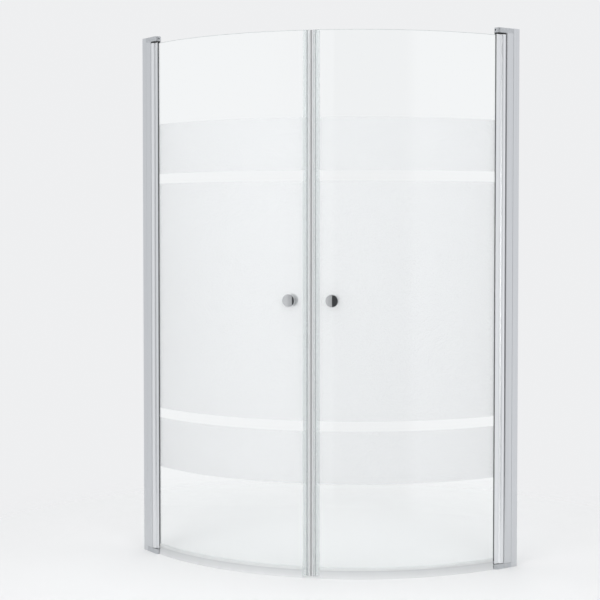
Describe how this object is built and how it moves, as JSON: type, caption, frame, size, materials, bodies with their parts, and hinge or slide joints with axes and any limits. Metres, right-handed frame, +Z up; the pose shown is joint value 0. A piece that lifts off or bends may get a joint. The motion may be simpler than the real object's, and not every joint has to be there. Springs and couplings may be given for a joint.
{
  "type": "shower screen",
  "caption": "Corner shower screen: curved glass doors on pivoting wall profiles swing apart from a magnetic seal, with round knobs, a frosted band and bottom seals.",
  "frame": {"origin": "middle of the screen's square plan, on the floor", "axes": "+Z up; the left-hand wall is the plane x = -0.5 and the back wall the plane y = +0.5, so the doors bulge towards +X and -Y"},
  "size_m": [1, 1, 1.95],
  "materials": {
    "satin_aluminium": "satin silver anodised extrusion",
    "bright_aluminium": "bright silver anodised extrusion",
    "satin_zinc": "die-cast zinc with a satin silver finish",
    "stainless_steel": "plain stainless steel",
    "dark_steel": "black oxide",
    "chrome": "polished chrome plate",
    "black_nylon": "moulded black nylon",
    "grey_plastic": "moulded grey plastic",
    "dark_rubber": "extruded dark grey rubber",
    "safety_glass": "clear toughened glass with a printed frost band",
    "clear_plastic": "clear soft extrusion",
    "grey_magnet": "flexible grey magnet strip"
  },
  "bodies": {
    "wall_frame": {"left_wall_channel": "satin_aluminium", "left_channel_cap": "grey_plastic", "left_adjusting_profile": "satin_aluminium", "left_locking_screws": "stainless_steel", "left_screw_covers": "grey_plastic", "left_top_bracket": "satin_zinc", "left_bottom_bracket": "satin_zinc", "left_bracket_screws": "stainless_steel", "left_pin_set_screws": "dark_steel", "left_top_pin": "stainless_steel", "left_bottom_pin": "stainless_steel", "right_wall_channel": "satin_aluminium", "right_channel_cap": "grey_plastic", "right_adjusting_profile": "satin_aluminium", "right_locking_screws": "stainless_steel", "right_screw_covers": "grey_plastic", "right_top_bracket": "satin_zinc", "right_bottom_bracket": "satin_zinc", "right_bracket_screws": "stainless_steel", "right_pin_set_screws": "dark_steel", "right_top_pin": "stainless_steel", "right_bottom_pin": "stainless_steel"},
    "left_door": {"left_top_bush": "black_nylon", "left_bottom_bush": "black_nylon", "left_pivot_profile": "bright_aluminium", "left_glazing_gasket": "dark_rubber", "left_glass": "safety_glass", "left_outer_knob": "chrome", "left_inner_knob": "chrome", "left_knob_stud": "stainless_steel", "left_knob_washers": "clear_plastic", "left_seal_clip": "clear_plastic", "left_magnet_strip": "grey_magnet", "left_bottom_seal": "clear_plastic"},
    "right_door": {"right_top_bush": "black_nylon", "right_bottom_bush": "black_nylon", "right_pivot_profile": "bright_aluminium", "right_glazing_gasket": "dark_rubber", "right_glass": "safety_glass", "right_outer_knob": "chrome", "right_inner_knob": "chrome", "right_knob_stud": "stainless_steel", "right_knob_washers": "clear_plastic", "right_seal_clip": "clear_plastic", "right_magnet_strip": "grey_magnet", "right_bottom_seal": "clear_plastic"}
  },
  "joints": [
    {"name": "left_door_swing", "type": "hinge", "parent": "wall_frame", "child": "left_door", "pos_m": [-0.428, -0.485, 0], "axis": [0, 0, -1], "range_deg": [-65, 100]},
    {"name": "right_door_swing", "type": "hinge", "parent": "wall_frame", "child": "right_door", "pos_m": [0.485, 0.428, 0], "axis": [0, 0, 1], "range_deg": [-65, 100]}
  ]
}
